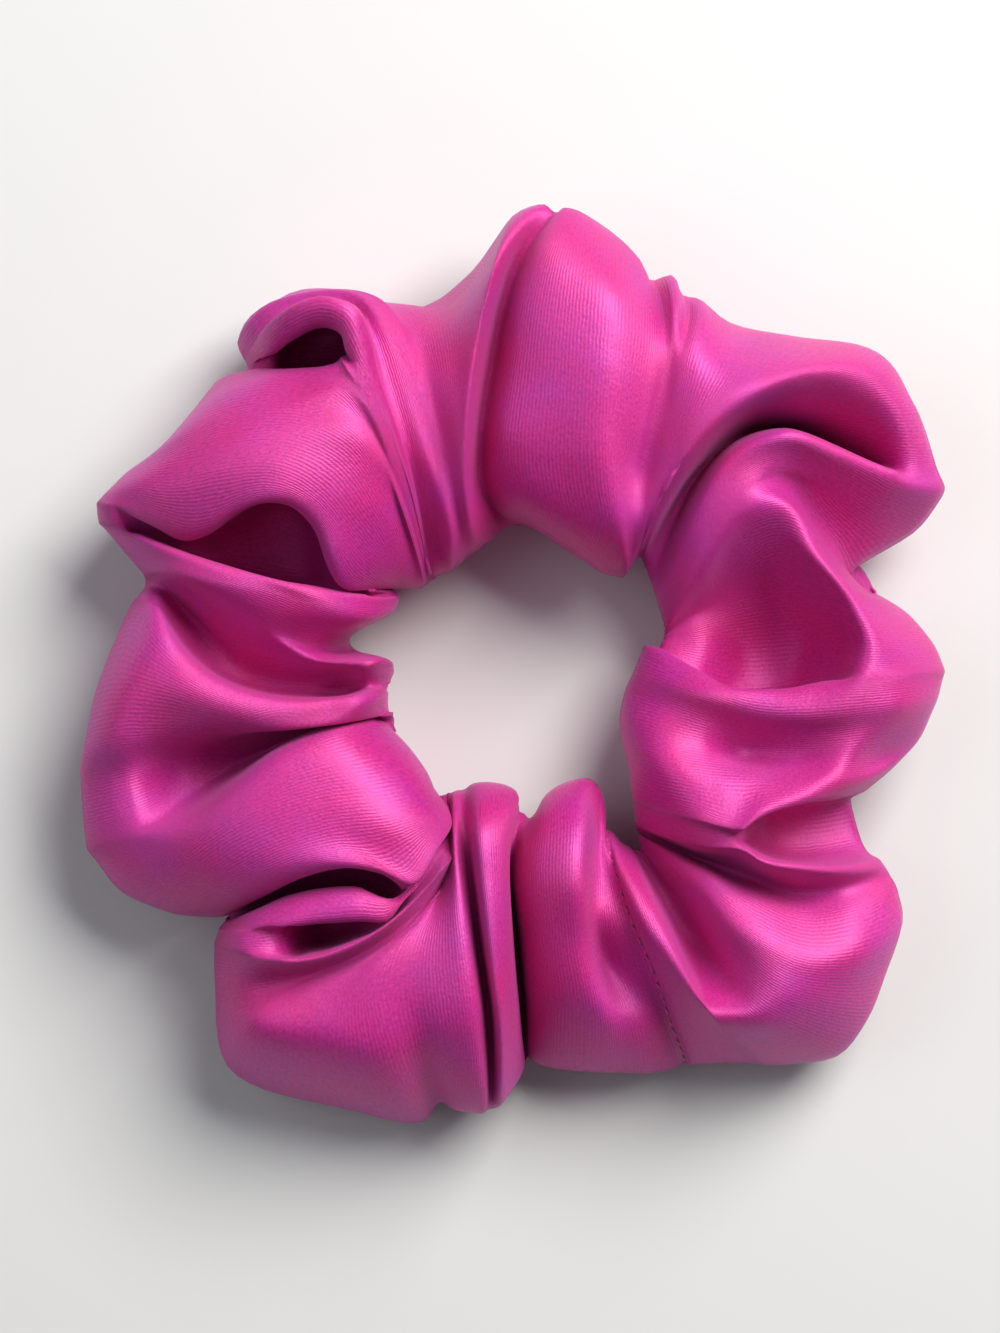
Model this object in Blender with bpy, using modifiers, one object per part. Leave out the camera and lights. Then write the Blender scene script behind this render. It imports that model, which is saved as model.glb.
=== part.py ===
"""Scrunchie lying flat: a gathered satin sleeve round a loop of flat elastic.

The ring lies on the plane z = 0 with its hole on the Z axis. Its two sides are pulled
apart along X when it is stretched, so the sleeve, the elastic and the long seam are each
split at x = 0. The sleeve's solid is the space that the gathered cloth takes up, with the
elastic's channel through it. Units are metres, and +Z is up.
"""
import math

import bmesh
import bpy
from mathutils import Vector

MM = 0.001
GAP = 0.3 * MM  # between pieces that touch on the real scrunchie
MERGE = 0.00001

# The sleeve as it lies
HOLE_RADIUS = 18.5 * MM
SLEEVE_HEIGHT = 34.0 * MM
NOTCH_HEIGHT_SHARE = 0.84  # the height at the deepest notch, as a share of the full height
UNDERSIDE_SINK = 2.0 * MM  # how much of the rounded underside the table flattens
RING_STEPS = 128
SECTION_STEPS = 20

# Lobes and notches of the gathered cloth: degrees round the hole, outer radius in mm
OUTLINE = (
    (0, 60.8), (16, 48.5), (24, 64.5), (41, 67.5), (55, 58.0), (73, 59.0),
    (86, 65.0), (105, 53.0), (122, 60.5), (136, 56.5), (156, 62.0), (167, 53.0),
    (191, 61.2), (203, 64.0), (213, 62.5), (222, 54.0), (232, 68.0), (242, 68.5),
    (257, 65.2), (266, 64.4), (273, 57.0), (287, 61.0), (302, 66.0), (311, 72.5),
    (328, 64.5), (338, 52.5), (348, 58.0),
)

# Flat elastic, standing on its edge inside the sleeve
ELASTIC_WIDTH = 6.0 * MM
ELASTIC_THICKNESS = 1.0 * MM
ELASTIC_LOOP_LENGTH = 160.0 * MM
ELASTIC_HEIGHT = 11.0 * MM  # its middle, above the table
ELASTIC_STEPS = 40
LAP_LENGTH = 12.0 * MM
LAP_ANGLE = -58.0  # degrees round the hole, at the middle of the lapped ends
CHANNEL_SIDE_ROOM = 0.7 * MM
CHANNEL_OUTER_ROOM = 2.4 * MM

# Sewing thread
THREAD_RADIUS = 0.2 * MM
GROOVE_RADIUS = 0.9 * MM
THREAD_DEPTH = 0.35 * MM
SEAM_SECTION_ANGLE = 222.0  # degrees round the section: low on the side of the hole
SEAM_STEPS = 60
CROSS_SEAM_ANGLE = -65.0
CROSS_SEAM_STEPS = 30
SEAM_CLEARANCE = 12.0  # degrees round the section, between the crossing seams
CLOSING_SECTION_ANGLE = 206.0
CLOSING_SPAN = (-48.0, -16.0)  # degrees round the hole
CLOSING_STEPS = 12
TACK_ROWS = 7
TACK_LENGTH = 7.0 * MM

MAGENTA = (0.60, 0.045, 0.28)
THREAD_MAGENTA = (0.52, 0.035, 0.24)
ELASTIC_WHITE = (0.86, 0.85, 0.83)
TACK_WHITE = (0.92, 0.91, 0.88)

ELASTIC_RADIUS = ELASTIC_LOOP_LENGTH / (2 * math.pi)
CHANNEL_RADII = (
    ELASTIC_RADIUS - ELASTIC_THICKNESS / 2 - CHANNEL_SIDE_ROOM,
    ELASTIC_RADIUS + ELASTIC_THICKNESS / 2 + CHANNEL_OUTER_ROOM,
)
CHANNEL_HALF_WIDTH = ELASTIC_WIDTH / 2 + CHANNEL_SIDE_ROOM
NOTCH_RADIUS = min(radius for _, radius in OUTLINE) * MM
LOBE_RADIUS = max(radius for _, radius in OUTLINE) * MM


def clear_scene():
    for obj in list(bpy.data.objects):
        bpy.data.objects.remove(obj, do_unlink=True)


def new_collection(name):
    collection = bpy.data.collections.new(name)
    bpy.context.scene.collection.children.link(collection)
    return collection


def principled(name, colour, roughness):
    material = bpy.data.materials.new(name)
    material.use_nodes = True
    shader = material.node_tree.nodes["Principled BSDF"]
    shader.inputs["Base Color"].default_value = (*colour, 1.0)
    shader.inputs["Roughness"].default_value = roughness
    shader.inputs["Metallic"].default_value = 0.0
    return material


def add_object(name, data, collection, material=None):
    obj = bpy.data.objects.new(name, data)
    collection.objects.link(obj)
    if material:
        data.materials.append(material)
    return obj


def make_cutter(obj):
    obj.hide_render = True
    obj.display_type = "WIRE"
    return obj


def outline_radius(theta):
    """The sleeve's outer radius at an angle, easing from each lobe or notch to the next."""
    degrees = math.degrees(theta) % 360.0
    closed = OUTLINE + ((OUTLINE[0][0] + 360.0, OUTLINE[0][1]),)
    for (start, low), (end, high) in zip(closed, closed[1:]):
        if start <= degrees <= end:
            share = 0.5 - 0.5 * math.cos(math.pi * (degrees - start) / (end - start))
            return (low + (high - low) * share) * MM
    return OUTLINE[0][1] * MM


def sleeve_point(theta, phi, depth=0.0):
    """A point on the sleeve, or `depth` under its surface: theta round the hole, phi round
    the section from its outer side over the top."""
    outer = outline_radius(theta)
    lobe = (outer - NOTCH_RADIUS) / (LOBE_RADIUS - NOTCH_RADIUS)
    share = NOTCH_HEIGHT_SHARE + (1 - NOTCH_HEIGHT_SHARE) * lobe
    half_height = (SLEEVE_HEIGHT * share + UNDERSIDE_SINK) / 2
    radius = (outer + HOLE_RADIUS) / 2
    radius += ((outer - HOLE_RADIUS) / 2 - depth) * math.cos(phi)
    height = half_height - UNDERSIDE_SINK + (half_height - depth) * math.sin(phi)
    return Vector((
        radius * math.cos(theta),
        radius * math.sin(theta),
        max(height, depth),
    ))


def make_tube(name, points, radius, collection, material=None, cyclic=False):
    """A round thread or groove along the points, as one closed mesh."""
    curve = bpy.data.curves.new(name + "_path", "CURVE")
    curve.dimensions = "3D"
    curve.bevel_depth = radius
    curve.bevel_resolution = 2
    curve.use_fill_caps = True
    spline = curve.splines.new("POLY")
    spline.points.add(len(points) - 1)
    for target, point in zip(spline.points, points):
        target.co = (*point, 1.0)
    spline.use_cyclic_u = cyclic
    path = add_object(name + "_path", curve, collection)
    bpy.context.view_layer.update()
    evaluated = path.evaluated_get(bpy.context.evaluated_depsgraph_get())
    mesh = bpy.data.meshes.new_from_object(evaluated)
    bpy.data.objects.remove(path, do_unlink=True)
    work = bmesh.new()
    work.from_mesh(mesh)
    bmesh.ops.remove_doubles(work, verts=work.verts, dist=MERGE)
    work.to_mesh(mesh)
    work.free()
    mesh.materials.clear()
    mesh.shade_smooth()
    return add_object(name, mesh, collection, material)


def gathered_ring_mesh():
    """A torus pushed out to the lobes of the gathered cloth, flat where it rests."""
    bpy.ops.mesh.primitive_torus_add(
        major_radius=0.04, minor_radius=0.02,
        major_segments=RING_STEPS, minor_segments=SECTION_STEPS,
    )
    torus = bpy.context.active_object
    mesh = torus.data.copy()
    for vertex in mesh.vertices:
        x, y, z = vertex.co
        theta = math.atan2(y, x)
        phi = math.atan2(z, math.hypot(x, y) - 0.04)
        vertex.co = sleeve_point(theta, phi)
    bpy.data.objects.remove(torus, do_unlink=True)
    return mesh


def make_channel_cutter(collection):
    """The elastic's channel: a rectangle turned round the hole."""
    inner, outer = CHANNEL_RADII
    low = ELASTIC_HEIGHT - CHANNEL_HALF_WIDTH
    high = ELASTIC_HEIGHT + CHANNEL_HALF_WIDTH
    corners = ((inner, high), (outer, high), (outer, low), (inner, low))
    mesh = bpy.data.meshes.new("channel")
    work = bmesh.new()
    verts = [work.verts.new((x, 0.0, z)) for x, z in corners]
    for first, second in zip(verts, verts[1:] + verts[:1]):
        work.edges.new((first, second))
    work.to_mesh(mesh)
    work.free()
    cutter = make_cutter(add_object("channel_cutter", mesh, collection))
    screw = cutter.modifiers.new("turn", "SCREW")
    screw.axis = "Z"
    screw.angle = 2 * math.pi
    screw.steps = screw.render_steps = ELASTIC_STEPS * 2
    screw.use_merge_vertices = True
    screw.merge_threshold = MERGE
    return cutter


def make_side_cutter(name, sign, collection):
    """A block that takes away everything on one side of x = 0, and half the gap."""
    size = 4 * LOBE_RADIUS
    bpy.ops.mesh.primitive_cube_add(size=size)
    block = bpy.context.active_object
    mesh = block.data.copy()
    bpy.data.objects.remove(block, do_unlink=True)
    shift = sign * (size / 2 - GAP / 2)
    for vertex in mesh.vertices:
        vertex.co.x += shift
    return make_cutter(add_object(name, mesh, collection))


def cut(obj, cutters):
    for cutter in cutters:
        boolean = obj.modifiers.new(cutter.name, "BOOLEAN")
        boolean.operation = "DIFFERENCE"
        boolean.solver = "EXACT"
        boolean.object = cutter


def arc_points(start, end, steps, phi, depth):
    angles = [start + (end - start) * i / steps for i in range(steps + 1)]
    return [sleeve_point(theta, phi, depth) for theta in angles]


def make_sleeve(parts, cutters, satin):
    """Left and right halves, each cut by the channel, the seam grooves and the other side."""
    full_turn = [2 * math.pi * i / (2 * SEAM_STEPS) for i in range(2 * SEAM_STEPS)]
    seam_phi = math.radians(SEAM_SECTION_ANGLE)
    seam_groove = make_cutter(make_tube(
        "long_seam_groove", [sleeve_point(t, seam_phi) for t in full_turn],
        GROOVE_RADIUS, cutters, cyclic=True,
    ))
    cross_groove = make_cutter(make_tube(
        "cross_seam_groove", cross_seam_points(0.0, SEAM_CLEARANCE * 0.6),
        GROOVE_RADIUS, cutters,
    ))
    closing_groove = make_cutter(make_tube(
        "closing_groove", closing_points(0.0, 1.5), GROOVE_RADIUS, cutters,
    ))
    channel = make_channel_cutter(cutters)
    grooves = {"sleeve_left": [seam_groove],
               "sleeve_right": [seam_groove, cross_groove, closing_groove]}
    for name, sign in (("sleeve_left", 1), ("sleeve_right", -1)):
        half = add_object(name, gathered_ring_mesh(), parts, satin)
        half.data.materials.clear()
        half.data.materials.append(satin)
        half.data.shade_smooth()
        other_side = make_side_cutter(name + "_plane", sign, cutters)
        cut(half, grooves[name] + [channel, other_side])


def half_span(sign, radius):
    """Start and end angles of the left (-1) or right (+1) half, short of the x = 0 plane."""
    short = 2 * GAP / radius
    middle = 0.0 if sign > 0 else math.pi
    return middle - math.pi / 2 + short, middle + math.pi / 2 - short


def make_strip(name, radius, start, end, steps, collection, material=None):
    """A flat band standing on its edge, bent along an arc round the hole."""
    mesh = bpy.data.meshes.new(name)
    work = bmesh.new()
    top = work.verts.new((radius, 0.0, ELASTIC_HEIGHT + ELASTIC_WIDTH / 2))
    low = work.verts.new((radius, 0.0, ELASTIC_HEIGHT - ELASTIC_WIDTH / 2))
    work.edges.new((top, low))
    work.to_mesh(mesh)
    work.free()
    strip = add_object(name, mesh, collection, material)
    strip.rotation_euler.z = start
    screw = strip.modifiers.new("bend", "SCREW")
    screw.axis = "Z"
    screw.angle = end - start
    screw.steps = screw.render_steps = steps
    screw.merge_threshold = MERGE
    screw.use_smooth_shade = False
    solid = strip.modifiers.new("thickness", "SOLIDIFY")
    solid.thickness = ELASTIC_THICKNESS
    solid.offset = 0.0
    return strip


def make_elastic(parts, cutters, knit):
    for name, sign in (("elastic_left", -1), ("elastic_right", 1)):
        start, end = half_span(sign, ELASTIC_RADIUS)
        band = make_strip(name, ELASTIC_RADIUS, start, end, ELASTIC_STEPS, parts, knit)
        if sign > 0:
            lap_radius = ELASTIC_RADIUS + ELASTIC_THICKNESS * 0.95
            half_lap = LAP_LENGTH / 2 / lap_radius
            middle = math.radians(LAP_ANGLE)
            lap = make_cutter(make_strip(
                "elastic_lapped_end", lap_radius, middle - half_lap, middle + half_lap,
                8, cutters,
            ))
            join = band.modifiers.new("lap", "BOOLEAN")
            join.operation = "UNION"
            join.solver = "EXACT"
            join.object = lap


def make_tack(parts, white):
    """A zigzag of thread over the lapped ends of the elastic."""
    radius = ELASTIC_RADIUS + ELASTIC_THICKNESS * 1.45 + GAP + THREAD_RADIUS
    middle = math.radians(LAP_ANGLE)
    reach = TACK_LENGTH / 2 / radius
    points = []
    for row in range(2 * TACK_ROWS + 1):
        theta = middle + reach * (row / TACK_ROWS - 1)
        side = 1 if row % 2 else -1
        height = ELASTIC_HEIGHT + side * ELASTIC_WIDTH * 0.36
        points.append(Vector((radius * math.cos(theta), radius * math.sin(theta), height)))
    make_tube("elastic_tack_thread", points, THREAD_RADIUS, parts, white)


def cross_seam_points(depth, clearance):
    """Round the section at one place along the tube, leaving room for the long seam."""
    theta = math.radians(CROSS_SEAM_ANGLE)
    start = math.radians(SEAM_SECTION_ANGLE + clearance)
    end = math.radians(SEAM_SECTION_ANGLE - clearance) + 2 * math.pi
    steps = CROSS_SEAM_STEPS
    angles = [start + (end - start) * i / steps for i in range(steps + 1)]
    return [sleeve_point(theta, phi, depth) for phi in angles]


def closing_points(depth, extra_degrees):
    start = math.radians(CLOSING_SPAN[0] - extra_degrees)
    end = math.radians(CLOSING_SPAN[1] + extra_degrees)
    phi = math.radians(CLOSING_SECTION_ANGLE)
    return arc_points(start, end, CLOSING_STEPS, phi, depth)


def make_threads(parts, thread):
    seam_phi = math.radians(SEAM_SECTION_ANGLE)
    for name, sign in (("long_seam_thread_left", -1), ("long_seam_thread_right", 1)):
        start, end = half_span(sign, HOLE_RADIUS)
        points = arc_points(start, end, SEAM_STEPS, seam_phi, THREAD_DEPTH)
        make_tube(name, points, THREAD_RADIUS, parts, thread)
    make_tube(
        "cross_seam_thread", cross_seam_points(THREAD_DEPTH, SEAM_CLEARANCE),
        THREAD_RADIUS, parts, thread,
    )
    make_tube(
        "closing_stitch_thread", closing_points(THREAD_DEPTH, 0.0),
        THREAD_RADIUS, parts, thread,
    )


def main():
    clear_scene()
    parts = new_collection("scrunchie")
    cutters = new_collection("cutters")
    make_sleeve(parts, cutters, principled("satin", MAGENTA, 0.38))
    make_elastic(parts, cutters, principled("elastic", ELASTIC_WHITE, 0.85))
    make_tack(parts, principled("tack_thread", TACK_WHITE, 0.6))
    make_threads(parts, principled("sewing_thread", THREAD_MAGENTA, 0.5))


main()
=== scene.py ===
"""Looks of the scrunchie: one continuous gathered satin sleeve round a flat elastic.

The sleeve is a loft along the gathered tube. Each fold line runs round half of the tube's
section, from the ring's outer edge over the top to the edge of the hole, and the underside
follows the same plan on the table. The finished cloth is fitted to the frame's box.
"""
import math

import bpy
import numpy as np
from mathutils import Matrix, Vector


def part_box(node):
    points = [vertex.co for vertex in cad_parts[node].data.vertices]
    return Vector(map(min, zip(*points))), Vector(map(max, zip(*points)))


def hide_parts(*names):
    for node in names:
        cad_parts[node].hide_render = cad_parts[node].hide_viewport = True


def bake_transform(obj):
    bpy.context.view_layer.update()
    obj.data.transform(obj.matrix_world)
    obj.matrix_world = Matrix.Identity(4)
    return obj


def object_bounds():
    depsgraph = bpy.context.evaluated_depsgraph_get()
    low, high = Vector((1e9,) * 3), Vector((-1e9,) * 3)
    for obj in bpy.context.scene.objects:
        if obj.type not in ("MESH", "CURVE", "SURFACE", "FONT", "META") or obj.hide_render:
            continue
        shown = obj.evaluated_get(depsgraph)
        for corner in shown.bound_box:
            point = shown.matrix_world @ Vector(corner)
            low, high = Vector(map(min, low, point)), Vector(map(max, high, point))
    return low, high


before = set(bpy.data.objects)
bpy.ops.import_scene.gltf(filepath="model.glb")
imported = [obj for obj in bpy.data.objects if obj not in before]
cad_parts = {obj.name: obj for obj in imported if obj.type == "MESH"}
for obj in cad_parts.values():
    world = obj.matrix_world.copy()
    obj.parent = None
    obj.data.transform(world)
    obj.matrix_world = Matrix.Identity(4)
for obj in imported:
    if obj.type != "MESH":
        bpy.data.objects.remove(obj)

CAD_LOW, CAD_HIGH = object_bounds()
ELASTIC_LOW, ELASTIC_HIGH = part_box("elastic_left")
MM = 0.001

# The cloth, as it was cut, and its mesh
FLAT_WIDTH = 127 * MM
FLAT_LENGTH = 560 * MM
CLOTH_THICKNESS = 0.3 * MM
ALONG = 528  # mesh steps along the gathered tube
ROUND = 90  # mesh steps round its section
TOP_COLUMNS = 55  # of them from the outer edge over the top to the edge of the hole
# How much moving round the hole, and up or down, counts in spreading a section's steps
SIDEWAYS_SHARE = 0.6
DROP_SHARE = 0.18
UNDERSIDE_REST = 0.5  # mm above the table, under a crest
UNDERSIDE_LIFT = 1.6  # mm more, under a valley
GATHERS = 94  # fine gathers round the ring
GATHER_UNDER = 3.5 * MM
GATHER_EDGE = 0.12 * MM
LONG_SEAM_COLUMN = 59  # mesh step round the section, low on the side of the hole
SEAM_SINK = 0.55 * MM
SEAM_PUFF = 0.35 * MM
CREST = 0
VALLEY = 1

# The elastic and the threads
ELASTIC_WIDTH = ELASTIC_HIGH[2] - ELASTIC_LOW[2]
ELASTIC_THICKNESS = 1.0 * MM
ELASTIC_DROP = 2.2 * MM  # below the CAD band, to clear the cloth's valleys at the hole
ELASTIC_MIDDLE = (ELASTIC_LOW[2] + ELASTIC_HIGH[2]) / 2 - ELASTIC_DROP
ELASTIC_INSET = 5.2 * MM  # inside the cloth, from the edge of the hole
ELASTIC_WINDOW = math.radians(9)
ELASTIC_STEPS = 240
ELASTIC_RIBS = 8
ELASTIC_RIB_DEPTH = 0.09 * MM
LAP_ANGLE = math.radians(-58)
LAP_LENGTH = 12.0 * MM
TACK_ROWS = 7
TACK_LENGTH = 7.0 * MM
THREAD_RADIUS = 0.2 * MM
STITCH_LENGTH = 2.4 * MM
STITCH_DIP = 0.30 * MM
THREAD_SIDES = 8
CLOSING_ROWS = 26  # stitches that close the gap left for turning the sleeve
TACK_SWING = 0.36  # of the elastic's width, to each side
ELASTIC_SMOOTHING = 45  # passes

# How a section is sampled, and how the underside evens out the fold lines
SECTION_SAMPLES = 600
UNDER_SHARES = (0.8, 0.5, 0.2)  # places along a fold line that the underside repeats
UNDER_SMOOTHING = 30  # passes
LIFT_SMOOTHING = 4  # of them also even out the lift

# Lights: place, size, power and colour
KEY_LIGHT = ((0.38, 0.45, 0.62), 0.50, 13.6, (1.0, 0.97, 0.94))
FILL_LIGHT = ((-0.5, 0.1, 0.55), 0.6, 1.5, (0.88, 0.92, 1.0))
SKY_COLOUR = (0.92, 0.95, 1.0, 1.0)
SKY_STRENGTH = 0.16
FLOOR_COLOUR = (0.57, 0.575, 0.57, 1.0)
CAMERA_HEIGHT = 0.6
CAMERA_ASIDE = (-1.75 * MM, 0.3 * MM)  # from the middle of the ring's box
CLOTH_DISTANCE = 0.585  # from the camera down to the middle of the cloth
SEEN_HALF_HEIGHT = 0.0933  # at that distance

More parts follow.
